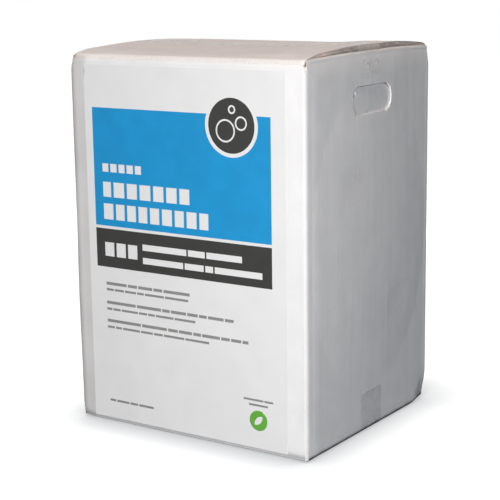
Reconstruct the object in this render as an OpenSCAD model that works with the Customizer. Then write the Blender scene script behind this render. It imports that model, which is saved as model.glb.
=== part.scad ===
// A large carton of washing powder, sealed with clear tape at the top and the
// bottom, with a paper label on its front. The case is one folded and glued
// blank of corrugated board. It is full, so its side panels bow out and its
// closed top is crowned. Everything inside is one solid with the case, because
// nothing opens or shows it. The origin is on the floor, under the middle of
// the case. The label faces -Y and the hand holes are at -X and +X.

/* [Case] */
// Width of the case over its side panels, along X
case_w = 330; // [300:1:380]
// Depth of the case from the front panel to the back panel, along Y
case_d = 288; // [240:1:330]
// Height of the front panel from its lower fold to its upper fold
case_h = 450; // [440:1:520]
// Thickness of the corrugated board
board_t = 4; // [3:0.5:5]
// Outer radius of the folds in the board
fold_r = 5; // [4.5:0.5:7]
// Outer radius of the softer folds between the upper long flaps and their panels
top_fold_r = 7; // [5:0.5:9]
// Rise of the long flaps of the closed top at their middle
crown = 8; // [5:0.5:12]
// Rise of the upper folds of the side panels at their middle
side_crown = 3; // [1:0.5:3]
// How far each side panel bows out at its middle
side_bow = 3; // [1:0.5:5]
// Flat margin between the bowed part of a side panel and its vertical folds
bow_margin = 4; // [2:0.5:12]

/* [Flaps and slots] */
// Distance from a side panel's face back to the cut ends of the long flaps
flap_setback = 4; // [2:0.5:4.5]
// Gap between the two long flaps where they meet
seam_gap = 1.5; // [0.5:0.5:4]
// How far a corner slot beside the front panel runs along the side panel
slot_run = 3.5; // [2:0.5:8]
// How far that slot reaches below the fold of the front panel
slot_drop = 7; // [5:0.5:12]
// How far a corner slot beside the back panel runs along the side panel
rear_slot_run = 1.5; // [1:0.5:8]
// How far that slot reaches below the fold of the back panel
rear_slot_drop = 3; // [2:0.5:12]
// Thickness of each flat liner of the board
liner_t = 0.5; // [0.3:0.1:0.8]
// Depth of the open flute between the liners at a cut end
flute_recess = 1.2; // [0.5:0.1:2.5]
// Depth of the gap between the cut ends of the upper long flaps and the flatter side panels' folds
end_gap_depth = 3; // [1:0.5:4]
// Distance from each end of that gap to the front or back panel's face
end_gap_margin = 19; // [12:1:30]
// Width of the seam at the corner where the blank is glued to itself
joint_gap = 1.2; // [0.6:0.1:2]
// Depth of that seam
joint_depth = 3; // [1:0.5:3.5]

/* [Hand holes] */
// Length of a hand hole
hand_w = 92; // [80:1:110]
// Height of a hand hole
hand_h = 32; // [26:1:38]
// Distance from the front panel's upper fold down to the middle of a hand hole
hand_drop = 54; // [54:1:110]
// Width of the die cut round the tab that fills a hand hole
cut_gap = 0.8; // [0.4:0.1:1.5]
// Depth of that cut
cut_depth = 9; // [7:0.5:12]
// How far the top edge of the right tab is pushed in
right_push = 1; // [1:0.5:4]
// How far the rear end of the right tab is pushed in as well
right_skew = 2; // [0.5:0.5:2.5]
// How far the top edge of the left tab is pushed in
left_push = 1; // [0.5:0.5:3]
// How far the rear end of the left tab is pushed in as well
left_skew = 0.5; // [0:0.5:2]

/* [Tape] */
// Width of the tape
tape_w = 48; // [36:1:72]
// Thickness of the tape
tape_t = 0.2; // [0.1:0.05:0.4]
// How far the upper tape reaches down a side panel below the front fold's height
tape_leg_top = 31; // [20:1:34]
// How far the lower tape reaches up a side panel from the floor
tape_leg_bottom = 49; // [20:1:80]

/* [Label] */
// Width of the label
label_w = 281.5; // [270:0.5:285]
// Distance from the front panel's upper fold down to the label's upper edge
label_drop = 14; // [13:0.5:17]
// Thickness of the label
label_t = 0.2; // [0.1:0.05:0.4]
// How far the middle of the label is off the middle of the front panel
label_shift = -2.75; // [-4:0.25:4]
// Height of the label's lower edge above the floor
label_z = 5.5; // [5:0.5:7]

/* [Print] */
// Thickness of the ink
ink_t = 0.1; // [0.05:0.05:0.2]
// Blank margin of the label to the left of the print
margin_left = 11; // [6:0.5:16]
// Width of the printed fields
field_w = 251.5; // [240:0.5:255]
// Height of the blue field
blue_h = 141; // [130:1:150]
// Blank margin of the label above the blue field
margin_top = 50; // [45:0.5:60]
// White stripe between the blue field and the dark band
stripe_h = 3.5; // [2:0.5:6]
// Height of the dark band
band_h = 47; // [40:1:56]
// Blank distance from the fields' left edge to the printed words
words_inset = 13; // [8:0.5:18]
// Radius of the round badge
badge_r = 31; // [26:0.5:34]
// White ring round the badge
badge_ring = 4.5; // [2:0.5:6]
// Distance from the badge's middle to the fields' right edge
badge_inset = 52; // [44:0.5:60]
// How far the badge's middle is below the blue field's upper edge
badge_drop = 12; // [0:0.5:20]
// Radius of the green dot
dot_r = 12; // [9:0.5:14]
// Distance from the dot's middle to the fields' right edge
dot_inset = 20.5; // [16:0.5:30]
// Height of the dot's middle above the label's lower edge
dot_z = 33; // [20:0.5:40]

/* [Hidden] */
$fn = 96;
// Fineness of the very large and shallow curves
large_fn = 1440;
// Overlap of cutters and joined forms, so that no face is shared by accident
pad = 1;
// Air between the tape and the side panel's fold where it bridges the flap's end
bridge_air = 0.05;
// How deep the gaps at the long flaps' ends bite into the short flaps
gap_bite = 0.2;

half_w = case_w / 2;
half_d = case_d / 2;
flap_x = half_w - flap_setback;
fold_x = half_w - fold_r;
fold_y = half_d - fold_r;

hand_z = case_h - hand_drop;

// The crown is one arc from the front fold to the back fold
arch_r = shallow_r(half_d, crown);
arch_z = case_h + crown - arch_r;
// Centre of the fold at the top of the front and back panels
shoulder_y = half_d - top_fold_r;
shoulder_z = arch_z + sqrt(pow(arch_r - top_fold_r, 2) - shoulder_y * shoulder_y);
full_arc = asin(half_d / (-arch_z)) + 2;

// The short flaps rise less, in an arc of their own, one board below
side_arch_r = shallow_r(half_d, side_crown);
side_arch_z = case_h - board_t + side_crown - side_arch_r;
side_arc = asin(half_d / (-side_arch_z)) + 1;

// The flat legs of the tapes end where the bowed part of a side panel starts
bow_low = tape_leg_bottom + pad;
bow_high = case_h - tape_leg_top - pad;

label_top_z = case_h - label_drop;
label_left = label_shift - label_w / 2;
field_left = label_left + margin_left;
field_right = field_left + field_w;
words_left = field_left + words_inset;
blue_top_z = label_top_z - margin_top;
band_top_z = blue_top_z - blue_h - stripe_h;
band_low_z = band_top_z - band_h;
badge_at = [field_right - badge_inset, blue_top_z - badge_drop];
dot_at = [field_right - dot_inset, label_z + dot_z];

// Rows of plain blocks stand for the words. Each row is [its lower edge above
// the place where the rows are set, height, gap, widths], drawn for fields that
// are rows_drawn_for wide, and it grows and shrinks with the fields.
rows_drawn_for = 251.5;
title_rows = [
    [-76, 10, 3, [9, 9.5, 9, 9.5, 9]],
    [-106, 18, 4, [12, 16, 15, 16, 15, 15, 14]],
    [-133, 19, 4, [14.5, 13, 13, 13, 13.5, 14.5, 13, 14, 12.5]]
];
band_initials = [[-33.5, 17, 3.5, [14, 14, 14]]];
band_rows = [
    [-21.5, 7.5, 2.2, [64, 24, 49]],
    [-37.5, 7.5, 2.2, [59, 27, 11, 65]]
];
// How far right of the initials' start the band's two rows of words begin
band_words_shift = 57;
small_rows = [
    [-22, 3.6, 1.8, [31, 14, 21, 13, 38]],
    [-29, 2.8, 1.6, [11, 14, 17, 10, 28, 34]],
    [-45.5, 3.6, 1.8, [44, 36, 11, 22, 15, 11, 22, 12]],
    [-53, 2.8, 1.6, [8, 11, 25, 12, 10, 26, 30]],
    [-68, 3.6, 1.8, [51, 37, 14, 19, 11, 25, 12, 14, 8]],
    [-75.5, 2.8, 1.6, [11, 9, 26, 18, 13, 30, 34]]
];
foot_rows = [[21, 2.8, 1.6, [9, 19, 12, 22]]];
// Two short rows above the green dot, each in line with its middle
dot_rows = [[10.8, 2.4, 1.4, [27, 12]], [5, 2.4, 1.4, [26]]];
// Rings on the badge, in shares of its radius: [right of its middle, above it, radius]
bubbles = [[-0.26, -0.19, 0.42], [0.42, 0.1, 0.26], [0.03, 0.58, 0.16]];
bubble_line = 0.065;

// Length of the first count blocks of a row with their gaps
function row_run(widths, gap, count) =
    count == 0 ? 0 : widths[count - 1] + gap + row_run(widths, gap, count - 1);

// Radius of the shallow arc that rises by rise over half a chord
function shallow_r(half_chord, rise) = (half_chord * half_chord + rise * rise) / (2 * rise);

// The tape leaves the flap's end, which is out from the centre of the side
// panel's fold by [run, rise], touches the fold and meets the panel's face at
// this distance beyond the fold's centre
function bridge_end(run, rise) =
    let(turn = atan2(rise, run) - acos((fold_r + bridge_air) / norm([run, rise])))
    (fold_r + bridge_air - fold_r * cos(turn)) / sin(turn);

module rounded_rectangle(w, h) {
    translate([-w / 2 + fold_r, 0]) square([w - 2 * fold_r, h]);
    translate([-w / 2, fold_r]) square([w, h - 2 * fold_r]);
    for (x = [-w / 2 + fold_r, w / 2 - fold_r], y = [fold_r, h - fold_r])
        translate([x, y]) circle(fold_r);
}

module slot_shape(w, h) {
    square([w - h, h], center = true);
    for (side = [-1, 1]) translate([side * (w - h) / 2, 0]) circle(h / 2);
}

// Revolves a profile about the axis of the crown's arc or of another one along
// X. The profile's first coordinate is the distance from that axis and its
// second one runs along X.
module about_arch(half_angle, axis_z = arch_z) {
    translate([0, 0, axis_z]) rotate([90, 0, 90]) rotate([0, 0, 90 - half_angle])
        rotate_extrude(angle = 2 * half_angle, $fn = large_fn) children();
}

module arch_band(inner, outer, x_from, x_to, half_angle, axis_z = arch_z) {
    about_arch(half_angle, axis_z) translate([inner, x_from]) square([outer - inner, x_to - x_from]);
}

// Front to back section: flat below, crowned above, with a fold at each corner
module wrap_section() {
    reach = 1.02 * arch_r / (arch_r - top_fold_r);
    edge_y = reach * shoulder_y;
    edge_z = arch_z + reach * (shoulder_z - arch_z);
    corners = [[-shoulder_y, shoulder_z], [shoulder_y, shoulder_z], [edge_y, edge_z], [-edge_y, edge_z]];
    translate([-fold_y, 0]) square([2 * fold_y, shoulder_z]);
    translate([-half_d, fold_r]) square([case_d, shoulder_z - fold_r]);
    for (y = [-fold_y, fold_y]) translate([y, fold_r]) circle(fold_r);
    for (y = [-shoulder_y, shoulder_y]) translate([y, shoulder_z]) circle(top_fold_r);
    intersection() {
        translate([0, arch_z]) circle(arch_r, $fn = large_fn);
        polygon(corners);
    }
}

// The front and back panels with the long flaps, out to the flaps' cut ends
module long_wrap() {
    translate([-flap_x, 0, 0]) rotate([90, 0, 90]) linear_extrude(2 * flap_x) wrap_section();
}

// The side panels with the short flaps, which lie one board inside the long
// ones at the corners and below
module short_wrap() {
    inner = -side_arch_z - pad;
    outer = side_arch_r;
    intersection() {
        translate([0, half_d + pad, board_t]) rotate([90, 0, 0])
            linear_extrude(case_d + 2 * pad) rounded_rectangle(case_w, case_h + crown);
        about_arch(side_arc, side_arch_z) {
            translate([inner, -half_w]) square([outer - fold_r - inner, case_w]);
            translate([inner, -fold_x]) square([outer - inner, 2 * fold_x]);
            for (x = [-fold_x, fold_x]) translate([outer - fold_r, x]) circle(fold_r);
        }
    }
}

// The four vertical folds
module upright() {
    translate([0, -half_d, -pad]) linear_extrude(case_h + crown + 2 * pad)
        rounded_rectangle(case_w, case_d);
}

// The bowed part of the right side panel, curved both along Y and along Z
module bowed_panel() {
    half_run = fold_y - bow_margin;
    half_rise = (bow_high - bow_low) / 2;
    run_r = shallow_r(half_run, side_bow);
    rise_r = shallow_r(half_rise, side_bow);
    sweep = asin(half_run / run_r) + 0.05;
    translate([half_w + side_bow - run_r, 0, (bow_low + bow_high) / 2]) rotate([0, 0, -sweep])
        rotate_extrude(angle = 2 * sweep, $fn = large_fn) intersection() {
            translate([run_r - rise_r, 0]) circle(rise_r, $fn = large_fn);
            translate([run_r - side_bow - pad, -half_rise - pad])
                square([side_bow + 2 * pad, 2 * (half_rise + pad)]);
        }
}

// The gaps between the long flaps, and the open flutes at their cut ends
module seams_and_flutes() {
    seam_half = seam_gap / 2;
    arch_band(arch_r - board_t, arch_r + pad, -flap_x - pad, flap_x + pad, asin(seam_half / arch_r));
    translate([-flap_x - pad, -seam_half, -pad]) cube([2 * (flap_x + pad), seam_gap, board_t + pad]);
    for (side = [0, 1]) mirror([side, 0, 0]) {
        arch_band(arch_r - board_t + liner_t, arch_r - liner_t,
            flap_x - flute_recess, flap_x + pad, asin(shoulder_y / arch_r));
        translate([flap_x - flute_recess, -fold_y, liner_t])
            cube([flute_recess + pad, 2 * fold_y, board_t - 2 * liner_t]);
    }
}

// The gaps between the upper long flaps' cut ends and the side panels' folds.
// They bite into the short flaps, so that each floor ends on the fold itself.
module end_gaps() {
    from_x = flap_x - end_gap_depth;
    floor_r = side_arch_r - gap_bite;
    for (side = [0, 1]) mirror([side, 0, 0]) difference() {
        arch_band(arch_r - board_t - crown, arch_r - board_t, from_x, flap_x + pad,
            asin((half_d - end_gap_margin) / arch_r));
        arch_band(floor_r - 2 * crown, floor_r, from_x - pad, flap_x + 2 * pad,
            side_arc, side_arch_z);
    }
}

// The slots at the corners, cut between a long flap and a short one
module corner_slots() {
    across = flap_setback + pad;
    for (side = [0, 1], back = [0, 1]) mirror([side, 0, 0]) mirror([0, back, 0]) {
        along = (back == 1 ? rear_slot_run : slot_run) + pad;
        drop = back == 1 ? rear_slot_drop : slot_drop;
        translate([flap_x, -half_d - pad, -pad]) cube([across, along, drop + pad]);
        translate([flap_x, -half_d - pad, case_h - drop]) cube([across, along, drop + crown]);
    }
}

// The seam of the blank's glued joint, at the rear left corner. It is in line
// with the cut ends of the long flaps and runs from slot to slot.
module glued_joint() {
    translate([-flap_x - joint_gap / 2, half_d - joint_depth, rear_slot_drop])
        cube([joint_gap, joint_depth + pad, case_h - 2 * rear_slot_drop]);
}

// What a hand hole takes away at +X: the space in front of its tab, which is
// hinged along its lower edge and pushed in, and the die cut round the tab
module hand_hole(push, skew) {
    deep = cut_depth + side_bow + pad;
    straight = hand_w - hand_h;
    intersection() {
        translate([half_w - cut_depth, 0, hand_z]) rotate([90, 0, 90]) linear_extrude(deep)
            slot_shape(hand_w, hand_h);
        translate([half_w, -hand_w / 2, hand_z - hand_h / 2])
            rotate([0, -atan(push / hand_h), atan(skew / hand_w)])
            translate([0, -hand_w, -hand_h]) cube([deep + hand_h, 3 * hand_w, 3 * hand_h]);
    }
    translate([half_w - cut_depth, 0, hand_z]) rotate([90, 0, 90]) linear_extrude(deep) difference() {
        slot_shape(hand_w, hand_h);
        slot_shape(hand_w - 2 * cut_gap, hand_h - 2 * cut_gap);
        translate([-straight / 2, -hand_h]) square([straight, hand_h]);
    }
}

// The flaps are pressed in by the tape's thickness where the case stands on it
module lower_tape_seat() {
    translate([-flap_x - pad, -tape_w / 2, -pad]) cube([2 * (flap_x + pad), tape_w, tape_t + pad]);
}

module carton() {
    color([0.92, 0.92, 0.91]) difference() {
        union() {
            intersection() {
                upright();
                union() {
                    long_wrap();
                    short_wrap();
                }
            }
            bowed_panel();
            mirror([1, 0, 0]) bowed_panel();
        }
        seams_and_flutes();
        end_gaps();
        corner_slots();
        glued_joint();
        hand_hole(right_push, right_skew);
        mirror([1, 0, 0]) hand_hole(left_push, left_skew);
        lower_tape_seat();
    }
}

// Section of a tape from one leg to the other. top is the level of the flap
// under the tape, bend the level where it meets the side panel, end its end.
module tape_section(top, bend, end) {
    steep = atan2(abs(top - bend), flap_setback);
    out = top > bend ? tape_t : -tape_t;
    shoulder = [flap_x + tape_t * tan(steep / 2), top + out];
    elbow = [half_w + tape_t, bend + out * tan((90 - steep) / 2)];
    right = [
        [flap_x, top], [half_w, bend], [half_w, end],
        [half_w + tape_t, end], elbow, shoulder
    ];
    left = [for (i = [len(right) - 1:-1:0]) [-right[i][0], right[i][1]]];
    polygon([for (p = concat(right, left)) [p[1], p[0]]]);
}

// The flap's end is lowest above the side panel's fold at the tape's edges
module top_tape() {
    edge_y = tape_w / 2;
    fold_edge_z = side_arch_z + sqrt(pow(side_arch_r - fold_r, 2) - edge_y * edge_y);
    rise = arch_z + sqrt(arch_r * arch_r - edge_y * edge_y) - fold_edge_z;
    bend = arch_r - rise + bridge_end(fold_r - flap_setback, rise);
    end_z = case_h - tape_leg_top;
    color([0.86, 0.83, 0.76]) intersection() {
        about_arch(full_arc) tape_section(arch_r, bend, end_z - arch_z - pad);
        translate([-case_w, -tape_w / 2, end_z]) cube([2 * case_w, tape_w, tape_leg_top + 2 * crown]);
    }
}

module bottom_tape() {
    rise = board_t + fold_r - tape_t;
    bend = tape_t + rise - bridge_end(fold_r - flap_setback, rise);
    color([0.80, 0.78, 0.73]) translate([0, tape_w / 2, 0]) rotate([90, 0, 0])
        linear_extrude(tape_w) mirror([1, -1]) tape_section(tape_t, bend, tape_leg_bottom);
}

// Stands a flat shape on the front panel, off its face by lift
module on_front(lift, thickness) {
    translate([0, -half_d - lift, 0]) rotate([90, 0, 0]) linear_extrude(thickness) children();
}

module front_label() {
    color([0.95, 0.95, 0.95]) on_front(0, label_t)
        translate([label_left, label_z]) square([label_w, label_top_z - label_z]);
}

// Sets rows with the start of each at a place on the front panel, or with the
// middle of each there
module word_rows(rows, place, centred = false) {
    translate(place) scale(field_w / rows_drawn_for) for (row = rows) {
        length = row_run(row[3], row[2], len(row[3])) - row[2];
        start = centred ? -length / 2 : 0;
        for (i = [0:len(row[3]) - 1])
            translate([start + row_run(row[3], row[2], i), row[0]]) square([row[3][i], row[1]]);
    }
}

module label_blue_field() {
    color([0.13, 0.59, 0.83]) on_front(label_t, ink_t) difference() {
        translate([field_left, blue_top_z - blue_h]) square([field_w, blue_h]);
        translate(badge_at) circle(badge_r + badge_ring);
        word_rows(title_rows, [words_left, blue_top_z]);
    }
}

module label_dark_band() {
    color([0.23, 0.23, 0.22]) on_front(label_t, ink_t) difference() {
        translate([field_left, band_low_z]) square([field_w, band_h]);
        word_rows(band_initials, [words_left, band_top_z]);
        word_rows(band_rows, [words_left + band_words_shift, band_top_z]);
    }
}

module label_badge() {
    color([0.23, 0.23, 0.22]) on_front(label_t, ink_t) translate(badge_at) difference() {
        circle(badge_r);
        scale(badge_r) for (b = bubbles) translate([b[0], b[1]]) difference() {
            circle(b[2]);
            circle(b[2] - bubble_line);
        }
    }
}

module label_small_print() {
    color([0.35, 0.35, 0.34]) on_front(label_t, ink_t) {
        word_rows(small_rows, [words_left, band_low_z]);
        word_rows(foot_rows, [words_left, label_z]);
        word_rows(dot_rows, dot_at + [0, dot_r], centred = true);
    }
}

// A leaf between two arcs is left white on the dot
module label_green_dot() {
    leaf_r = 0.8 * dot_r;
    leaf_off = 0.5 * dot_r;
    color([0.40, 0.67, 0.24]) on_front(label_t, ink_t) translate(dot_at) difference() {
        circle(dot_r);
        rotate(45) intersection_for(side = [-1, 1]) translate([0, side * leaf_off]) circle(leaf_r);
    }
}

carton();
top_tape();
bottom_tape();
front_label();
label_blue_field();
label_dark_band();
label_badge();
label_small_print();
label_green_dot();
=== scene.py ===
import math

import bmesh
import bpy
import numpy as np
from mathutils import Matrix, Vector, noise


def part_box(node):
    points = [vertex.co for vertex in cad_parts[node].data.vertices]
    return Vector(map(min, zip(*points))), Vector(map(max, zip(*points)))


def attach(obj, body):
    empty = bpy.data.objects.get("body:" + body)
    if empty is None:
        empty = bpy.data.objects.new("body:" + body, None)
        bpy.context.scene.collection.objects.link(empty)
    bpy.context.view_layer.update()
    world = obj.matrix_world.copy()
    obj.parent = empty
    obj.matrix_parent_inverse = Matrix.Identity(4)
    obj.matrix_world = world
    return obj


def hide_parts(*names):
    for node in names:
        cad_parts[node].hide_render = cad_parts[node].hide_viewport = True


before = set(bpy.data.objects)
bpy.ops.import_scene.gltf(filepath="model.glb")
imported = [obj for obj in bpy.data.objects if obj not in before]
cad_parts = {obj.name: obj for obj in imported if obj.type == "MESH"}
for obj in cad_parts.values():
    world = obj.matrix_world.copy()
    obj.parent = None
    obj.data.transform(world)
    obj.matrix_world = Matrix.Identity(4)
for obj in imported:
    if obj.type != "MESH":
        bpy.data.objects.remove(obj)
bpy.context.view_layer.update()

MM = 0.001

# The case in millimetres, as the CAD model has it
HALF_W = 165.0
HALF_D = 144.0
FRONT_H = 450.0
FOLD_R = 5.0
TOP_FOLD_R = 7.0
BOARD_T = 4.0
# Where the long flaps end, where their open flutes are recessed to, and from where on a point is the sides'
FLAP_X = 161.0
RECESS_X = 159.8
SIDE_X = FLAP_X + 0.05
# The corner slots' inner faces and depths, in front and at the back
SLOT_Y = 140.5
SLOT_DROP = 7.0
REAR_SLOT_Y = 142.5
REAR_SLOT_DROP = 3.0
# The arches of the closed top and of the side panels' upper folds: radius and height of the centre
CROWN_R = 1300.0
CROWN_Z = -842.0
SIDE_CROWN_R = 3457.5
SIDE_CROWN_Z = -3008.5
# The gap under the closed top's ends: its depth and half its length
END_GAP = 3.0
END_GAP_HALF = 125.0
# How far the side panels bow out, between which heights, and half of how far across
BOW = 3.0
BOW_LOW = 50.0
BOW_HIGH = 418.0
BOW_HALF_RUN = 135.0
# The hand holes: height of the middle and half their width and height
HAND_Z = 396.0
HAND_HALF_W = 46.0
HAND_HALF_H = 16.0
# How far each tab is pushed in at its top edge, and at its rear end as well, with the right one first
TAB_PUSH = ((1.0, 2.0), (1.0, 0.5))
# How deep the die cuts go, and further out than what only the side panels and their cuts lie
CUT_DEPTH = 9.0
CUTS_FROM = HALF_W - CUT_DEPTH - 1
# Faces higher than this belong to the closure of the top, and lower ones to the base's
TOP_FROM = 300
# How deep the liner shows white around each hole
RIM_WHITE = 1.4
# How far behind each tab the cut's floor lies, and how much deeper it is along the tab's upper edge
TAB_CUT = (0.15, 3.8)
# How deep the end gaps are left, and how much of the open flutes' recess is filled
GAP_LEFT = 1.2
FLUTE_FILL = 0.5
# How far each tab's front end stands out beyond the CAD model's
TAB_PROUD = 0.6
# The tapes: thickness, half the width, heights where the legs end, depth of the dispenser's teeth and half
# their pitch
TAPE_T = 0.2
TAPE_HALF_W = 24.0
TAPE_TOP_END = 419.0
TAPE_BOTTOM_END = 49.0
TOOTH = (1.1, 2)
# Where the legs begin, and how high their creases stand, everywhere and by the ends as well
LEG_FROM = 161.5
CREASES = (0.10, 0.12)
# How cloudy the top and bottom tapes' legs are where they are creased, and both tapes off their legs
LEG_HAZE = (0.5, 0.10)
FLAT_HAZE = 0.22

# The corrugated board: one flute, the step of the faces across it, and what its outer liner does over it
FLUTE = 7.8
STEP = FLUTE / 4
# As far to each side as whole steps reach between the side panels' folds
SIDE_REACH = 138.45
# Rows of faces up the walls and across the closed top and base: from, to and at most how far apart
WALL_ROWS = [(10, 26, 8), (38, 422, 12), (426, 441, 3)]
DECK_ROWS = (-136, 136, 9)
# How deep the washboard, the streaks, the broad waves and the crushed folds are
WASHBOARD = 0.05
STREAK = 0.16
WAVE = 0.55
FOLD_CRUSH = 0.35
# How much of the washboard and the streaks shows through the label
LABEL_SHARE = 0.35
# How far the right panel draws in toward its front fold, and both panels toward their top, and over what
# length
SIDE_DRAW = (1.3, 18.0)
TOP_DRAW = (2.6, 18.0)
# How far the left panel's folds stand out, over what length, and the middle and reach of it upward
LEFT_BULGE = (1.2, 60.0, 160.0, 100.0)
# How far the closed top sags left of its right end, and how far its folds are crushed
TOP_SAG = 3.9
TOP_FOLD_CRUSH = 1.2
# How far the closed top dips toward its front fold, and over what length
FRONT_DIP = (2.7, 32.0)
# How far the side panels' upper folds stand higher than in the CAD model, in front and more at the back
SIDE_LIFT = (1.9, 0.9)
REAR_LIFT = (1.63, 1.4)
# The height from which they are lifted, and over what length the lift grows
LIFT_FROM = 425
LIFT_RUN = 18
# How much of the flap's cut end the lifted folds leave in view at the back
REAR_SHOWS = 2.2
# How far the side panels' lower folds sink, and how far the corner slots' ends move: the front ones down, at
# the top and at the base, and the rear ones up at the top
SIDE_DROP = 2.0
SLOT_MOVES = (2.0, 5.0, 2.3)
# How much fuller than an arc the closed top is at its right end
FULL_END = 1.6

# Dents: place, radius and depth in millimetres
DENTS = [
    ((165, 144, 0), 36, 4.8),
    ((165, -144, 452), 12, 0.6),
    ((-165, -144, 3), 18, 1.6),
    ((-165, -144, 447), 14, 1.2),
    ((-165, 144, 300), 16, 0.9),
    ((165, 143, 452), 16, 0.5),
    ((167, 62, 150), 34, 0.7),
    ((167, -40, 300), 46, 0.6),
    ((-60, 144, 210), 60, 0.9),
    ((-168, 30, 180), 50, 0.8),
]

# The soft lamps: name, size, watts, colour, place and what each is aimed at
SOFT_BOXES = [
    ("front_box", (0.40, 0.40), 16.8, (1.0, 0.968, 0.945), (0.50, -1.45, 0.45), (0, -0.144, 0.25)),
    ("side_box", (0.35, 0.35), 1.12, (1.0, 0.972, 0.965), (0.75, -0.50, 0.43), (0.165, 0, 0.26)),
    ("back_box", (0.40, 0.40), 11.0, (1.0, 0.955, 0.925), (-0.95, 1.20, 0.21), (0, 0, 0.25)),
]

# The warm light from above: strength, colour, angular size in degrees and place
SUN_STRENGTH = 1.60
SUN_COLOUR = (1.0, 0.775, 0.655)
SUN_DEGREES = 18
SUN_PLACE = (0.1, -0.1, 2.0)

# The camera, as fitted to the case's corners: yaw, pitch and roll in degrees, place in metres and lens
CAMERA_TURN = (34.013, -11.604, -0.787)
CAMERA_PLACE = (0.9413, -1.4056, 0.5490)
SENSOR_MM = 36
LENS_MM = 100.37

# The floor's half size in metres and how many millimetres it lies under the case
FLOOR_HALF = 6.0
FLOOR_DROP = 0.3
# The shade at the case's foot in metres: its reach in front and behind, between which depths it grows, and
# how far its gaze leans toward the case for each metre further back
SHADE_REACH = (0.06, 0.095)
SHADE_GROWS = (0.10, 0.18)
SHADE_LEAN = -3.5

# The board's materials, by their place in its list
LINER, CUT, SHADED_FLUTE, DEEP_SHADE, GAP = 0, 1, 2, 3, 4


def material(name):
    """A new material with its Principled shader, node list and links."""
    made = bpy.data.materials.new(name)
    made.use_nodes = True
    tree = made.node_tree
    return made, tree, tree.nodes["Principled BSDF"]


def add(tree, kind, **inputs):
    """A node of a kind. Inputs are by name, with _ for a space."""
    made = tree.nodes.new("ShaderNode" + kind)
    for key, value in inputs.items():
        made.inputs[key.replace("_", " ")].default_value = value
    return made


def grain(tree, scale, detail=3.0, stretch=(1, 1, 1), roughness=0.5):
    """Noise in object coordinates, one unit a metre, with a stretch of the coordinates."""
    place = add(tree, "TexCoord")
    fit = add(tree, "Mapping", Scale=stretch)
    tree.links.new(place.outputs["Object"], fit.inputs["Vector"])
    made = add(tree, "TexNoise", Scale=scale, Detail=detail, Roughness=roughness)
    tree.links.new(fit.outputs["Vector"], made.inputs["Vector"])
    return made.outputs["Fac"]


def ramp(tree, value, low, high, low_at=0.3, high_at=0.7):
    """A colour from low to high, as value goes from low_at to high_at."""
    made = tree.nodes.new("ShaderNodeValToRGB")
    ends = made.color_ramp.elements
    ends[0].position, ends[1].position = low_at, high_at
    ends[0].color, ends[1].color = (*low, 1), (*high, 1)
    tree.links.new(value, made.inputs["Fac"])
    return made.outputs["Color"]


def span(tree, value, low, high, from_low=0.3, from_high=0.7):
    """A number from low to high, as value goes from from_low to from_high."""
    made = tree.nodes.new("ShaderNodeMapRange")
    for key, number in zip(("From Min", "From Max", "To Min", "To Max"), (from_low, from_high, low, high)):
        made.inputs[key].default_value = number
    tree.links.new(value, made.inputs["Value"])
    return made.outputs["Result"]


def blend_colours(tree, share, first, second, mode="MIX"):
    """first and second mixed by share, which is a socket or a number."""
    made = tree.nodes.new("ShaderNodeMix")
    made.data_type = "RGBA"
    made.blend_type = mode
    for key, value in (("Factor", share), ("A", first), ("B", second)):
        socket = made.inputs[key]
        if isinstance(value, bpy.types.NodeSocket):
            tree.links.new(value, socket)
        else:
            socket.default_value = value if isinstance(value, (int, float)) else (*value, 1)
    return made.outputs["Result"]


def maths(tree, operation, first, second):
    """The result of an operation on two sockets or numbers."""
    made = tree.nodes.new("ShaderNodeMath")
    made.operation = operation
    for socket, value in zip(made.inputs, (first, second)):
        if isinstance(value, bpy.types.NodeSocket):
            tree.links.new(value, socket)
        else:
            socket.default_value = value
    return made.outputs["Value"]


def bump(tree, shader, height, strength, distance):
    """Fine relief that is too small for the mesh."""
    made = add(tree, "Bump", Strength=strength, Distance=distance)
    tree.links.new(height, made.inputs["Height"])
    tree.links.new(made.outputs["Normal"], shader.inputs["Normal"])


def mark(tree, name):
    """A number that the mesh carries at each of its points."""
    made = tree.nodes.new("ShaderNodeAttribute")
    made.attribute_name = name
    return made.outputs["Fac"]


def liner_material():
    """White liner: mottled, streaked over the flutes, scuffed folds, handling marks and painted shade."""
    made, tree, shader = material("white_liner")
    colour = ramp(tree, grain(tree, 38, 5), (0.855, 0.855, 0.857), (0.895, 0.895, 0.895), 0.35, 0.65)
    fibres = grain(tree, 900, 2, (1, 1, 0.35))
    colour = blend_colours(tree, span(tree, fibres, 0.0, 0.05), colour, (0.55, 0.54, 0.53))
    colour = blend_colours(tree, mark(tree, "streak"), colour, (0.60, 0.605, 0.61))
    # Stains, and painted shade on the front panel's left margin and along the foot of the walls
    colour = blend_colours(tree, mark(tree, "stain_and_shade"), colour, (0.46, 0.447, 0.435))
    worn = maths(tree, "MULTIPLY", mark(tree, "wear"), span(tree, grain(tree, 420, 4), 0.0, 1.0, 0.42, 0.62))
    colour = blend_colours(tree, worn, colour, (0.50, 0.43, 0.37))
    tree.links.new(colour, shader.inputs["Base Color"])
    tree.links.new(span(tree, grain(tree, 60, 4), 0.52, 0.68), shader.inputs["Roughness"])
    shader.inputs["Specular IOR Level"].default_value = 0.2
    bump(tree, shader, grain(tree, 1500, 3, (1, 1, 0.5)), 0.12, 0.0002)
    return made


def cut_material(name, low, high):
    """The cut board: brown fibres in thin layers along the cut."""
    made, tree, shader = material(name)
    colour = ramp(tree, grain(tree, 700, 5, (1, 0.25, 1), 0.65), low, high, 0.35, 0.68)
    tree.links.new(colour, shader.inputs["Base Color"])
    tree.links.new(span(tree, grain(tree, 500, 3), 0.8, 0.95), shader.inputs["Roughness"])
    shader.inputs["Specular IOR Level"].default_value = 0.15
    bump(tree, shader, grain(tree, 1100, 4, (1, 0.3, 1)), 0.5, 0.0003)
    return made


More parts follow.
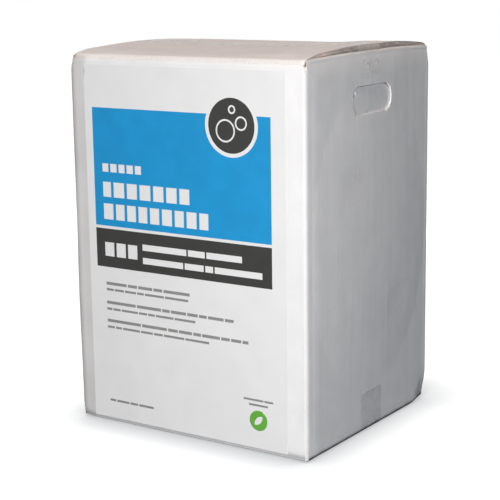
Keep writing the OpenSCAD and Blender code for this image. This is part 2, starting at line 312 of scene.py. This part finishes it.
def tape_material(name, colour, alpha):
    """Clear packing tape: a thin gloss film, cloudier where it is creased and air is caught under it."""
    made, tree, shader = material(name)
    clouds = grain(tree, 90, 4, (1, 1, 1), 0.6)
    low = tuple(0.9 * c for c in colour)
    tree.links.new(ramp(tree, clouds, low, colour, 0.4, 0.6), shader.inputs["Base Color"])
    clear = span(tree, clouds, alpha * 0.8, alpha * 1.25, 0.38, 0.62)
    tree.links.new(maths(tree, "ADD", clear, mark(tree, "haze")), shader.inputs["Alpha"])
    tree.links.new(span(tree, grain(tree, 150, 3), 0.10, 0.24), shader.inputs["Roughness"])
    shader.inputs["IOR"].default_value = 1.47
    bump(tree, shader, grain(tree, 160, 3, (1, 1, 1), 0.55), 0.25, 0.0008)
    return made


def paper_material():
    """The label's smooth white paper, with faint clouds and fibres."""
    made, tree, shader = material("label_paper")
    colour = ramp(tree, grain(tree, 30, 4), (0.803, 0.806, 0.808), (0.83, 0.832, 0.83), 0.35, 0.65)
    colour = blend_colours(tree, span(tree, grain(tree, 1300, 2), 0.0, 0.04), colour, (0.6, 0.6, 0.6))
    tree.links.new(colour, shader.inputs["Base Color"])
    tree.links.new(span(tree, grain(tree, 50, 3), 0.50, 0.60), shader.inputs["Roughness"])
    shader.inputs["Specular IOR Level"].default_value = 0.2
    bump(tree, shader, grain(tree, 1700, 2), 0.05, 0.0001)
    return made


def ink_material(name, colour, gloss=0.4):
    """Printed ink: even colour with slight clouds and pinholes where the paper shows."""
    made, tree, shader = material(name)
    low = tuple(0.96 * c for c in colour)
    high = tuple(min(1.0, 1.04 * c) for c in colour)
    flat = ramp(tree, grain(tree, 45, 5), low, high, 0.35, 0.65)
    holes = span(tree, grain(tree, 2600, 2), 0.0, 0.05, 0.60, 0.72)
    tree.links.new(blend_colours(tree, holes, flat, (0.8, 0.8, 0.8)), shader.inputs["Base Color"])
    tree.links.new(span(tree, grain(tree, 55, 3), gloss, gloss + 0.12), shader.inputs["Roughness"])
    shader.inputs["Specular IOR Level"].default_value = 0.3
    bump(tree, shader, grain(tree, 1700, 2), 0.05, 0.0001)
    return made


def cut_by_planes(bm, faces, axis, places):
    """Cuts faces by planes across an axis, half of the planes at a time, and returns the faces."""
    if not places or not faces:
        return faces
    middle = len(places) // 2
    at = places[middle]
    crossing, low, high = [], [], []
    for f in faces:
        reach = [v.co[axis] for v in f.verts]
        if min(reach) < at - 1e-6 and max(reach) > at + 1e-6:
            crossing.append(f)
        elif sum(reach) / len(reach) < at:
            low.append(f)
        else:
            high.append(f)
    if crossing:
        parts = set(crossing)
        parts.update(e for f in crossing for e in f.edges)
        parts.update(v for f in crossing for v in f.verts)
        normal = Vector((0, 0, 0))
        normal[axis] = 1
        cut = bmesh.ops.bisect_plane(bm, geom=list(parts), dist=1e-7, plane_co=at * normal, plane_no=normal)
        for f in cut["geom"]:
            if isinstance(f, bmesh.types.BMFace):
                (low if f.calc_center_median()[axis] < at else high).append(f)
    low = cut_by_planes(bm, low, axis, places[:middle])
    return low + cut_by_planes(bm, high, axis, places[middle + 1:])


def planes(low, high, step):
    """Places from low to high in millimetres, evenly spaced by at most step, in metres."""
    count = max(1, math.ceil((high - low) / step))
    return [MM * (low + (high - low) * i / count) for i in range(count + 1)]


def cad_mesh(node):
    """A copy of a CAD node's mesh with its flat faces whole again."""
    bm = bmesh.new()
    bm.from_mesh(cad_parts[node].data)
    bmesh.ops.remove_doubles(bm, verts=bm.verts, dist=1e-7)
    bmesh.ops.dissolve_limit(
        bm, angle_limit=math.radians(0.02), verts=bm.verts, edges=bm.edges, delimit={"NORMAL"}
    )
    bm.normal_update()
    return bm


def points_of(bm):
    """The mesh's points in millimetres, one a row."""
    return np.array([v.co for v in bm.verts], float) / MM


def move_points(bm, points):
    """Puts the mesh's points at places in millimetres."""
    for v, p in zip(bm.verts, points * MM):
        v.co = p


def arc_radius(half_chord, rise):
    """The radius of an arc from half its chord and its rise."""
    return (half_chord ** 2 + rise ** 2) / (2 * rise)


def bowed_x(y, z):
    """How far out the bowed side panel's face is, as in the CAD model."""
    run_r = arc_radius(BOW_HALF_RUN, BOW)
    rise_r = arc_radius((BOW_HIGH - BOW_LOW) / 2, BOW)
    up = z - (BOW_LOW + BOW_HIGH) / 2
    out = run_r - rise_r + np.sqrt(np.maximum(rise_r ** 2 - up ** 2, 0))
    face = HALF_W + BOW - run_r + np.sqrt(np.maximum(out ** 2 - y ** 2, 0))
    return np.where(np.abs(up) < (BOW_HIGH - BOW_LOW) / 2, np.maximum(face, HALF_W), HALF_W)


def true_curves(points):
    """Puts points of the shallow curves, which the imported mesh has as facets, back on the true curves."""
    x, y, z = points.T.copy()
    face = bowed_x(y, z)
    near = (np.abs(np.abs(x) - face) < 0.25) & (np.abs(y) < HALF_D - FOLD_R)
    near &= (z > BOW_LOW) & (z < BOW_HIGH)
    x = np.where(near, np.sign(x) * face, x)
    from_axis = np.hypot(y, z - CROWN_Z)
    for radius in (CROWN_R, CROWN_R + TAPE_T):
        near = (np.abs(from_axis - radius) < 0.09) & (np.abs(x) < SIDE_X) & (z > FRONT_H)
        z = np.where(near, CROWN_Z + np.sqrt((radius - 0.03) ** 2 - y ** 2), z)
    return np.stack([x, y, z], axis=1)


def arch_height(y):
    """How high the closed top's arch is across the case."""
    return CROWN_Z + np.sqrt(CROWN_R ** 2 - y ** 2)


def outward(points):
    """Which way is out of the case at each point, as for a box with rounded folds."""
    x, y, z = points.T
    side = np.abs(x) > SIDE_X
    radius = np.where(~side & (z > FRONT_H - 2 * TOP_FOLD_R), TOP_FOLD_R, FOLD_R)
    crown = arch_height(y) - TOP_FOLD_R
    side_crown = SIDE_CROWN_Z + np.sqrt((SIDE_CROWN_R - FOLD_R) ** 2 - y ** 2)
    reach = np.where(side, HALF_W - FOLD_R, FLAP_X)
    low = np.where(side, BOARD_T + FOLD_R, FOLD_R)
    core = np.stack([
        np.clip(x, -reach, reach),
        np.clip(y, radius - HALF_D, HALF_D - radius),
        np.clip(z, low, np.where(side, side_crown, crown)),
    ], axis=1)
    away = points - core
    length = np.linalg.norm(away, axis=1, keepdims=True)
    return np.where(length > 1e-3, away / np.maximum(length, 1e-3), 0)


def smooth(value):
    """A smooth rise from 0 to 1 as value goes from 0 to 1."""
    value = np.clip(value, 0, 1)
    return value * value * (3 - 2 * value)


def field(points, scale, seed):
    """Smooth noise from -1 to 1. scale is its size along each axis in millimetres."""
    at = points / np.array(scale, float) + np.array([seed * 17.3, seed * 5.1, seed * 9.7])
    return np.array([noise.noise(Vector(p)) for p in at])


def flatness(points, out):
    """1 on the flat of a panel or flap and 0 on a fold and beside it."""
    x, y, z = np.abs(points[:, 0]), np.abs(points[:, 1]), points[:, 2]
    flat = smooth((np.abs(out).max(axis=1) - 0.93) / 0.07)
    wall = np.abs(out[:, 2]) < 0.5
    beside = np.where(np.abs(out[:, 0]) > 0.5, HALF_D - FOLD_R - y, HALF_W - FOLD_R - x)
    ends = np.where(wall, np.minimum(z - 9, FRONT_H - FOLD_R - z), HALF_D - FOLD_R - y)
    return flat * smooth(beside / 7) * smooth(ends / 12)


def streaks(points, out):
    """Long faint bands along the flutes, from 0 to 1."""
    side = np.abs(out[:, 0]) > 0.5
    along = np.where(side, points[:, 1], points[:, 0])
    far = np.where(np.abs(out[:, 2]) > 0.5, points[:, 1], points[:, 2])
    which = 40 * side + 20 * (points[:, 0] + points[:, 1] > 0)
    at = np.stack([along, far, which], axis=1)
    broad = field(at, (19, 260, 7), 1)
    fine = field(at, (7.5, 120, 7), 2)
    return np.clip(0.5 + 0.75 * broad + 0.4 * fine, 0, 1)


def side_draw(points):
    """How far the side panels are drawn in beside their folds."""
    x, y, z = points.T
    side_fold = SIDE_CROWN_Z + np.sqrt((SIDE_CROWN_R - FOLD_R) ** 2 - y ** 2)
    beside = np.clip(HALF_D - FOLD_R - np.abs(y), 0, None)
    below = np.clip(side_fold - z, 0, None)
    side = SIDE_DRAW[0] * np.clip(1 - beside / SIDE_DRAW[1], 0, 1) ** 2 * ((x > 0) & (y < 0))
    side = np.maximum(side, TOP_DRAW[0] * np.clip(1 - below / TOP_DRAW[1], 0, 1) ** 2)
    out_by, run, middle, reach = LEFT_BULGE
    bulge = np.clip(1 - beside / run, 0, 1) ** 2 * np.clip(1 - ((z - middle) / reach) ** 2, 0, 1) ** 2
    return (side - out_by * bulge * (x < 0)) * np.clip((np.abs(x) - HALF_W + FOLD_R) / FOLD_R, 0, 1)


def top_draw(points, out):
    """How far the closed top sags and its folds are crushed."""
    x, y, z = points.T
    top = TOP_SAG * smooth((135 - x) / 120) * (1 - 0.6 * smooth((-50 - x) / 70))
    top *= smooth((HALF_D - np.abs(y)) / 60) * (z > FRONT_H - BOARD_T) * np.clip(out[:, 2], 0, 1)
    crushed = 2 * np.abs(out[:, 1]) * np.clip(out[:, 2], 0, 1) * (np.abs(out[:, 0]) < 0.1)
    return top + TOP_FOLD_CRUSH * crushed


def end_fullness(points, arch):
    """How much fuller than an arc the closed top is toward the folds at its right end."""
    x, y, z = points.T
    share = np.abs(y) / HALF_D
    full = FULL_END * np.clip((6.5 * share ** 2 - 0.25) * (1 - share ** 3), 0, 1) * smooth((x - 30) / 110)
    return full * (smooth((z - arch + BOARD_T + 2) / 2) * smooth((y + 40) / 60))


def on_side_fold(points, arch):
    """Which points rise with the side panels: those between the slots, and the floor of the end gaps."""
    x, y, z = points.T
    low_end = (z < arch - BOARD_T - 0.3) & (np.abs(y) < END_GAP_HALF + 0.2)
    side = (np.abs(x) > SIDE_X) | ((np.abs(x) > FLAP_X - END_GAP - 0.1) & low_end)
    above_slots = (z > FRONT_H - SLOT_DROP + 0.2) & (np.abs(y) < REAR_SLOT_Y + 0.01)
    return side & ((np.abs(y) < SLOT_Y - 0.01) | above_slots)


def fold_lift(points, arch, full, side):
    """How far the side panels' upper folds stand higher, with a limit at the back where the flap's cut end
    has to stay in view."""
    y, z = points[:, 1], points[:, 2]
    rising = smooth((z - LIFT_FROM) / LIFT_RUN)
    lift = SIDE_LIFT[0] + SIDE_LIFT[1] * smooth((y + 40) / 160)
    lift = lift * side * rising * smooth((arch - z) / 7)
    rear = REAR_LIFT[0] + REAR_LIFT[1] * smooth(y / 70)
    rear = np.minimum(rear, np.clip(arch + full - REAR_SHOWS - z, 0, 9))
    rear = rear * side * rising
    return lift + (rear - lift) * smooth(y / 40)


def low_fold_drop(points):
    """How far the side panels' lower folds sink, without leaving the floor."""
    x, y, z = points.T
    low_side = (np.abs(x) > SIDE_X) & (np.abs(y) < SLOT_Y - 0.01)
    return SIDE_DROP * smooth((24 - z) / 15) * np.clip((z - 0.2) / BOARD_T, 0, 1) * low_side


def slot_moves(points):
    """How far the ends of the corner slots move up, which is less than nothing for the front ones."""
    x, y, z = points.T
    at_slot = np.abs(x) > FLAP_X - 0.06
    front = at_slot & (y < 0.1 - SLOT_Y)
    top_end = front * SLOT_MOVES[0] * smooth((z - 428) / 14) * (z < FRONT_H - SLOT_DROP + 0.2)
    base_end = front * SLOT_MOVES[1] * smooth((12 - z) / 5) * (z > SLOT_DROP - 0.2)
    rear = at_slot & (y > REAR_SLOT_Y - 0.05) & (z < FRONT_H - REAR_SLOT_DROP + 0.2)
    return rear * SLOT_MOVES[2] * smooth((z - 434) / 12) - top_end - base_end


def raised(points):
    """How far the side panels' folds, the corner slots and the right end of the closed top stand higher, less
    what its front edge dips."""
    x, y, z = points.T
    arch = arch_height(y)
    full = end_fullness(points, arch)
    side = on_side_fold(points, arch)
    lift = fold_lift(points, arch, full, side) - low_fold_drop(points) + slot_moves(points)
    dip = FRONT_DIP[0] * smooth((FRONT_DIP[1] - HALF_D - y) / FRONT_DIP[1]) * smooth((z - 438) / 10)
    return full * (z > 440) * ~side + lift - dip * (np.abs(x) < SIDE_X)


def dent_depth(points):
    """How deep the dents are at each point."""
    depth = np.zeros(len(points))
    for place, radius, deep in DENTS:
        far = np.linalg.norm(points - np.array(place, float), axis=1) / radius
        depth += deep * np.clip(1 - far ** 2, 0, 1) ** 2
    return depth


def settle(points, board_share):
    """Moves points of the case's faces inward, as real board sinks: between its flutes, in broad waves, in
    dents and along its folds. board_share is how much of the board's fine relief the piece follows."""
    points = true_curves(points)
    out = outward(points)
    flat = flatness(points, out)
    along = np.where(np.abs(out[:, 0]) > 0.5, points[:, 1], points[:, 0])
    flutes = 0.5 + 0.5 * np.cos(2 * math.pi * along / FLUTE)
    uneven = 0.75 + 0.5 * field(points, (40, 40, 90), 3)
    relief = WASHBOARD * flutes * uneven + STREAK * streaks(points, out)
    waves = WAVE * (0.5 + 0.5 * field(points, (95, 95, 130), 4))
    folds = FOLD_CRUSH * np.clip(field(points, (16, 16, 16), 5), 0, 1) * (1 - flat)
    sink = flat * (board_share * relief + waves) + dent_depth(points) + top_draw(points, out)
    sink += folds * (np.linalg.norm(out, axis=1) > 0.5)
    moved = points - out * sink[:, None]
    moved[:, 0] -= np.sign(points[:, 0]) * side_draw(points)
    moved[:, 2] += raised(points)
    return moved, out, flat


def fill_cuts(rest, moved):
    """Brings the floor of the die cut up to just behind each tab, except along the tab's upper edge, where
    the cut stays open, and makes the gaps and open flutes at the flaps' cut ends shallower."""
    x, y, z = rest.T
    up, along = z - HAND_Z, y + HAND_HALF_W
    floor = (np.abs(np.abs(x) - HALF_W + CUT_DEPTH) < 0.5) & (np.abs(y) < HAND_HALF_W + 0.2)
    floor &= np.abs(up) < HAND_HALF_H + 0.2
    ring = (np.abs(np.abs(x) - HALF_W + RIM_WHITE) < 0.05) & (np.abs(y) < HAND_HALF_W + 0.2)
    ring &= np.abs(up) < HAND_HALF_H + 0.2
    behind = np.where(np.abs(np.abs(x) - FLAP_X + END_GAP) < 0.1, END_GAP - GAP_LEFT, 0)
    behind = np.where(np.abs(np.abs(x) - RECESS_X) < 0.05, FLUTE_FILL, behind)
    moved[:, 0] += np.sign(x) * behind
    proud = TAB_PROUD * smooth((20 - y) / 50)
    tab_radius = np.hypot(np.clip(np.abs(y) - HAND_HALF_W + HAND_HALF_H, 0, None), up)
    on_tab = (tab_radius < HAND_HALF_H - 0.6) & (np.abs(x) > HALF_W - 4)
    moved[:, 0] += np.sign(x) * proud * on_tab
    for side, (push, skew) in zip((1, -1), TAB_PUSH):
        tab = HALF_W + proud - (up + HAND_HALF_H) * push / (2 * HAND_HALF_H)
        tab -= along * skew / (2 * HAND_HALF_W)
        depth = TAB_CUT[0] + TAB_CUT[1] * smooth((up - 10) / 5)
        here = floor & (x * side > 0)
        moved[here, 0] = side * (tab - depth)[here]
        here = ring & (x * side > 0)
        moved[here, 0] = side * np.maximum(tab - depth + 0.05, np.abs(moved[:, 0]))[here]
    return moved


def on_hand_hole(at):
    """Whether a place belongs to a hand hole's die cut or tab."""
    return abs(at.x) > CUTS_FROM and abs(at.y) < HAND_HALF_W + 0.2 and abs(at.z - HAND_Z) < HAND_HALF_H + 0.2


def hand_hole_zone(ax, z, nx):
    """Which of the board's materials a face in a hand hole's die cut or on its tab has."""
    if abs(nx) > 0.9:
        # Painted shade: the cut's floor along the tab's upper edge gets the darkened open-flute brown
        return SHADED_FLUTE if ax < HALF_W - CUT_DEPTH + 1 and z > HAND_Z + 9 else LINER
    # The liner's white rim, and deeper walls in the darkened open-flute brown as painted shade
    return LINER if ax > HALF_W - RIM_WHITE else SHADED_FLUTE


def board_zone(face):
    """Which of the board's materials a face of the CAD mesh has."""
    x, y, z = face.calc_center_median() / MM
    nx, ny, nz = face.normal
    ax, ay = abs(x), abs(y)
    top = z > TOP_FROM
    if on_hand_hole(Vector((x, y, z))):
        return hand_hole_zone(ax, z, nx)
    slot_y, drop = (SLOT_Y, SLOT_DROP) if y < 0 else (REAR_SLOT_Y, REAR_SLOT_DROP)
    # Painted shade: the corner slots are near black, standing in for the dark inside the case
    if ax > FLAP_X - 0.05 and ay > slot_y - 0.1 and (z > FRONT_H - drop - 0.1 or z < drop + 0.1):
        return DEEP_SHADE
    if ax < SIDE_X and ay < 0.8 and (z > 440 or z < BOARD_T + 0.1):
        return CUT
    under = CROWN_Z + math.sqrt((CROWN_R - BOARD_T) ** 2 - y * y)
    if top and FLAP_X - END_GAP - 0.1 < ax < FLAP_X + 0.1 and ay < END_GAP_HALF + 0.1 and z < under + 0.1:
        return GAP if nz < 0.5 else LINER
    if x < 0 and abs(ax - FLAP_X) < 0.7 and HALF_D - 3.1 < y < HALF_D - 0.2 and ny < 0.9:
        return CUT
    if ax > RECESS_X - 0.1 and ax < FLAP_X + 0.1:
        if abs(nx) > 0.9:
            # Painted shade: the cut ends at the base are near black, where the case meets the floor
            return CUT if top else DEEP_SHADE
        deep = CROWN_R - math.hypot(y, z - CROWN_Z) if top else z
        # The open flutes' recess: their own brown, darkened further as painted shade
        if 0.3 < deep < BOARD_T - 0.3 and (top or z < BOARD_T):
            return SHADED_FLUTE
    return LINER


def add_marks(mesh, points, out, flat):
    """Where the liner is scuffed, stained, streaked and painted with shade, as numbers its material reads."""
    has_out = np.linalg.norm(out, axis=1) > 0.5
    worn = smooth((0.985 - np.abs(out).max(axis=1)) / 0.12) * has_out
    share = np.where(np.abs(out[:, 2]) > 0.1, 0.5, 0.15)
    worn *= np.clip(0.3 + field(points, (30, 30, 30), 6), 0, 1) * share
    worn = np.maximum(worn, 0.7 * np.clip(dent_depth(points) / 2.5, 0, 1))
    top_fold = smooth(3 * np.abs(out[:, 1]) * np.clip(out[:, 2], 0, 1)) * (np.abs(out[:, 0]) < 0.1)
    worn = np.maximum(worn, 0.15 * top_fold)
    x, y, z = points.T
    front = smooth(-out[:, 1])
    # Painted shade: the front panel's left margin is darker, most of all beside its left fold
    left = (0.5 + 0.4 * smooth((-155 - x) / 7)) * smooth((-136 - x) / 10) * front
    stain_and_shade = left * (1 + 0.35 * field(points, (25, 25, 60), 7))
    stain_and_shade = np.maximum(stain_and_shade, 0.11 * np.clip(field(points, (45, 45, 70), 8), 0, 1))
    # Painted shade: the walls are darker toward the floor
    stain_and_shade = np.maximum(stain_and_shade, 0.25 * smooth((15 - z) / 12) * (np.abs(out[:, 2]) < 0.9))
    streak = 0.06 * streaks(points, out) * flat * (np.abs(out[:, 1]) < 0.5)
    for name, values in (("wear", worn), ("stain_and_shade", stain_and_shade), ("streak", streak)):
        layer = mesh.attributes.new(name, "FLOAT", "POINT")
        layer.data.foreach_set("value", np.clip(values, 0, 1).astype(np.float32))


def finish_mesh(bm, name, materials, sharp_degrees=40):
    """An object from bm, smooth but for its sharp edges."""
    mesh = bpy.data.meshes.new(name)
    bm.to_mesh(mesh)
    bm.free()
    for m in materials:
        mesh.materials.append(m)
    mesh.polygons.foreach_set("use_smooth", [True] * len(mesh.polygons))
    mesh.set_sharp_from_angle(angle=math.radians(sharp_degrees))
    piece = bpy.data.objects.new(name, mesh)
    bpy.context.scene.collection.objects.link(piece)
    return piece


def stand_for(piece, node):
    """Puts a piece in a CAD node's place, in its one body."""
    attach(piece, "root")
    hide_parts(node)


def board_materials():
    """The liner and the cut board in its four shades, in the order of the board's zones."""
    return [
        liner_material(),
        cut_material("cut_board", (0.60, 0.51, 0.47), (0.82, 0.72, 0.66)),
        # The open flutes' brown, darkened as painted shade for recesses and deep cuts
        cut_material("open_flute_shaded", (0.34, 0.28, 0.25), (0.54, 0.46, 0.42)),
        # Painted shade: near black, for the slots and the cut ends at the base
        cut_material("deep_shade", (0.06, 0.048, 0.04), (0.14, 0.11, 0.09)),
        cut_material("shaded_gap", (0.42, 0.36, 0.33), (0.62, 0.54, 0.50)),
    ]


def make_board():
    """The case: the CAD solid's faces, cut finely enough to carry the board's relief."""
    bm = cad_mesh("carton")
    walls, wraps, sides, decks = [], [], [], []
    for f in bm.faces:
        far = max(abs(v.co.x) for v in f.verts) / MM
        if abs(f.normal.x) < 0.3 and far < SIDE_X:
            wraps.append(f)
        elif abs(f.normal.y) < 0.3 and abs(f.calc_center_median().x) > CUTS_FROM * MM:
            sides.append(f)
    cut_by_planes(bm, wraps, 0, planes(FOLD_R - FLAP_X, FLAP_X - FOLD_R, STEP))
    cut_by_planes(bm, sides, 1, planes(STEP - SIDE_REACH, SIDE_REACH - STEP, STEP))
    bm.normal_update()
    for f in bm.faces:
        if abs(f.normal.z) < 0.3 and max(abs(f.normal.x), abs(f.normal.y)) > 0.2:
            walls.append(f)
        elif abs(f.normal.z) > 0.9 and abs(f.calc_center_median().x) < FLAP_X * MM:
            decks.append(f)
    cut_by_planes(bm, walls, 2, [at for run in WALL_ROWS for at in planes(*run)])
    cut_by_planes(bm, decks, 1, planes(*DECK_ROWS))
    bm.normal_update()
    rims = [f for f in bm.faces if on_hand_hole(f.calc_center_median() / MM) and abs(f.normal.x) < 0.9]
    cut_by_planes(bm, rims, 0, [MM * side * (HALF_W - RIM_WHITE) for side in (-1, 1)])
    bm.normal_update()
    for f in bm.faces:
        f.material_index = board_zone(f)
    bm.verts.ensure_lookup_table()
    rest = points_of(bm)
    moved, out, flat = settle(rest, 1.0)
    move_points(bm, fill_cuts(rest, moved))
    piece = finish_mesh(bm, "case_board", board_materials())
    add_marks(piece.data, rest, out, flat)
    stand_for(piece, "carton")


def make_on_label(node, name, finish, x_step=STEP, z_step=10.0):
    """A flat piece of the label or its print, following the board's relief weakly."""
    bm = cad_mesh(node)
    low, high = (corner / MM for corner in (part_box(node)[0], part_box(node)[1]))
    faces = cut_by_planes(bm, list(bm.faces), 0, planes(low.x, high.x, x_step)[1:-1])
    cut_by_planes(bm, faces, 2, planes(low.z, high.z, z_step)[1:-1])
    points = points_of(bm)
    on_board = points.copy()
    on_board[:, 1] = -HALF_D
    moved, _, _ = settle(on_board, LABEL_SHARE)
    points[:, 1] += moved[:, 1] - on_board[:, 1]
    move_points(bm, points)
    bm.normal_update()
    piece = finish_mesh(bm, name, [finish])
    stand_for(piece, node)


def make_tape(node, name, leg_end, leg_haze, finish):
    """A tape with wrinkled legs, whose ends have the teeth of the dispenser."""
    bm = cad_mesh(node)
    faces = cut_by_planes(bm, list(bm.faces), 0, planes(FOLD_R - HALF_W, HALF_W - FOLD_R, 5))
    faces = cut_by_planes(bm, faces, 1, planes(1 - TAPE_HALF_W, TAPE_HALF_W - 1, 1))
    up = 1 if leg_end > FRONT_H / 2 else -1
    low, high = sorted((leg_end, FRONT_H if up > 0 else FOLD_R))
    cut_by_planes(bm, faces, 2, planes(low, high, 2.5)[1:-1])
    points = points_of(bm)
    moved, out, _ = settle(points, 0.0)
    leg = smooth((np.abs(points[:, 0]) - LEG_FROM) / 3)
    ridge = np.clip(1 - 9 * np.abs(field(points, (20, 15, 11), 9)), 0, 1)
    ridge *= np.clip(3 * field(points, (20, 14, 14), 10) - 0.3, 0, 1)
    near_end = smooth(1 - np.abs(points[:, 2] - leg_end) / 30)
    moved += out * (leg * ridge * (CREASES[0] + CREASES[1] * near_end))[:, None]
    teeth = TOOTH[0] * np.abs((points[:, 1] / TOOTH[1]) % 2 - 1)
    at_end = np.abs(points[:, 2] - leg_end) < 0.01
    moved[:, 2] += np.where(at_end, teeth * up, 0)
    move_points(bm, moved)
    bm.normal_update()
    piece = finish_mesh(bm, name, [finish], 50)
    haze = np.where(leg > 0.5, leg_haze * ridge, FLAT_HAZE)
    layer = piece.data.attributes.new("haze", "FLOAT", "POINT")
    layer.data.foreach_set("value", haze.astype(np.float32))
    stand_for(piece, node)


def floor_shade(tree):
    """How open each place on the floor is, looking toward the case, with a longer reach behind it."""
    near_case = tree.nodes.new("ShaderNodeAmbientOcclusion")
    near_case.samples = 16
    place = add(tree, "TexCoord")
    parts = tree.nodes.new("ShaderNodeSeparateXYZ")
    tree.links.new(place.outputs["Object"], parts.inputs["Vector"])
    back = parts.outputs["Y"]
    tree.links.new(span(tree, back, *SHADE_REACH, *SHADE_GROWS), near_case.inputs["Distance"])
    lean = tree.nodes.new("ShaderNodeCombineXYZ")
    behind = maths(tree, "ADD", back, SHADE_GROWS[0])
    tree.links.new(maths(tree, "MULTIPLY", behind, SHADE_LEAN), lean.inputs["Y"])
    lean.inputs["Z"].default_value = 1.0
    toward = tree.nodes.new("ShaderNodeVectorMath")
    toward.operation = "NORMALIZE"
    tree.links.new(lean.outputs[0], toward.inputs[0])
    tree.links.new(toward.outputs["Vector"], near_case.inputs["Normal"])
    return near_case.outputs["AO"]


def floor_material():
    """White for the camera, darker with painted shadow where the case stands close over it, and plain for
    other rays.
    """
    made = bpy.data.materials.new("floor_white")
    made.use_nodes = True
    tree = made.node_tree
    tree.nodes.clear()
    end = tree.nodes.new("ShaderNodeOutputMaterial")
    path = tree.nodes.new("ShaderNodeLightPath")
    plain = add(tree, "BsdfDiffuse", Color=(0.16, 0.20, 0.24, 1))
    shaded = add(tree, "BsdfDiffuse", Color=(0.16, 0.182, 0.196, 1))
    openness = floor_shade(tree)
    white = add(tree, "Emission", Strength=0.97)
    shadow = ramp(tree, openness, (0.52, 0.525, 0.53), (1, 1, 1), 0.45, 0.98)
    tree.links.new(shadow, white.inputs["Color"])
    seen = tree.nodes.new("ShaderNodeAddShader")
    tree.links.new(shaded.outputs[0], seen.inputs[0])
    tree.links.new(white.outputs[0], seen.inputs[1])
    either = tree.nodes.new("ShaderNodeMixShader")
    tree.links.new(path.outputs["Is Camera Ray"], either.inputs["Fac"])
    tree.links.new(plain.outputs[0], either.inputs[1])
    tree.links.new(seen.outputs[0], either.inputs[2])
    tree.links.new(either.outputs[0], end.inputs["Surface"])
    return made


def make_floor():
    """The white floor, a little below the case so that the two don't touch."""
    mesh = bpy.data.meshes.new("floor")
    signs = [(-1, -1), (1, -1), (1, 1), (-1, 1)]
    corners = [(x * FLOOR_HALF, y * FLOOR_HALF, -FLOOR_DROP * MM) for x, y in signs]
    mesh.from_pydata(corners, [], [(0, 1, 2, 3)])
    floor = bpy.data.objects.new("floor", mesh)
    bpy.context.scene.collection.objects.link(floor)
    mesh.materials.append(floor_material())


def make_world():
    """White for what the camera and reflections see, and a dim even light for the rest."""
    world = bpy.data.worlds.new("studio")
    bpy.context.scene.world = world
    world.use_nodes = True
    tree = world.node_tree
    back = tree.nodes["Background"]
    path = tree.nodes.new("ShaderNodeLightPath")
    seen = maths(tree, "MAXIMUM", path.outputs["Is Camera Ray"], path.outputs["Is Glossy Ray"])
    seen = maths(tree, "MAXIMUM", seen, path.outputs["Is Transmission Ray"])
    tree.links.new(blend_colours(tree, seen, (0.028, 0.055, 0.076), (1, 1, 1)), back.inputs["Color"])
    back.inputs["Strength"].default_value = 1.0


def aim(thing, place, target):
    """Puts a lamp at a place and turns it toward a target."""
    thing.location = place
    thing.rotation_mode = "QUATERNION"
    thing.rotation_quaternion = (Vector(target) - Vector(place)).to_track_quat("-Z", "Y")


def make_lights():
    """The soft boxes before the label, beside the right panel and behind the case, and a warm light from
    above."""
    for name, size, watts, colour, place, target in SOFT_BOXES:
        lamp = bpy.data.lights.new(name, "AREA")
        lamp.shape = "RECTANGLE"
        lamp.size, lamp.size_y = size
        lamp.energy = watts
        lamp.color = colour
        holder = bpy.data.objects.new(name, lamp)
        bpy.context.scene.collection.objects.link(holder)
        aim(holder, place, target)
    top = bpy.data.lights.new("overhead", "SUN")
    top.energy = SUN_STRENGTH
    top.color = SUN_COLOUR
    top.angle = math.radians(SUN_DEGREES)
    top_lamp = bpy.data.objects.new("overhead", top)
    bpy.context.scene.collection.objects.link(top_lamp)
    aim(top_lamp, SUN_PLACE, (0, 0, 0))


def make_camera():
    """The photograph's view: a short telephoto, a little above the case and to its right."""
    yaw, pitch, roll = (math.radians(degrees) for degrees in CAMERA_TURN)
    right = Vector((math.cos(yaw), math.sin(yaw), 0))
    ahead = Vector((-math.sin(yaw), math.cos(yaw), 0))
    up = Vector((0, 0, 1))
    look = ahead * math.cos(pitch) + up * math.sin(pitch)
    level = up * math.cos(pitch) - ahead * math.sin(pitch)
    across = right * math.cos(roll) + level * math.sin(roll)
    upward = level * math.cos(roll) - right * math.sin(roll)
    data = bpy.data.cameras.new("camera")
    data.sensor_width = SENSOR_MM
    data.lens = LENS_MM
    data.clip_start, data.clip_end = 0.05, 50
    camera = bpy.data.objects.new("camera", data)
    bpy.context.scene.collection.objects.link(camera)
    turn = Matrix((across, upward, -look)).transposed().to_4x4()
    camera.matrix_world = Matrix.Translation(CAMERA_PLACE) @ turn
    bpy.context.scene.camera = camera


bpy.context.scene.view_settings.view_transform = "Standard"
make_camera()
make_board()
top_film = tape_material("clear_tape_top", (0.90, 0.89, 0.87), 0.025)
low_film = tape_material("clear_tape_low", (0.34, 0.34, 0.34), 0.065)
make_tape("top_tape", "tape_top", TAPE_TOP_END, LEG_HAZE[0], top_film)
make_tape("bottom_tape", "tape_bottom", TAPE_BOTTOM_END, LEG_HAZE[1], low_film)
make_on_label("front_label", "label_sheet", paper_material())
dark = ink_material("dark_ink", (0.042, 0.042, 0.040))
grey = ink_material("grey_ink", (0.27, 0.27, 0.265), 0.5)
blue = ink_material("blue_ink", (0.012, 0.295, 0.622))
make_on_label("label_blue_field", "print_blue_field", blue)
make_on_label("label_dark_band", "print_dark_band", dark)
make_on_label("label_badge", "print_badge", dark)
make_on_label("label_small_print", "print_small_rows", grey)
green = ink_material("green_ink", (0.13, 0.42, 0.05))
make_on_label("label_green_dot", "print_green_dot", green)
make_floor()
make_world()
make_lights()
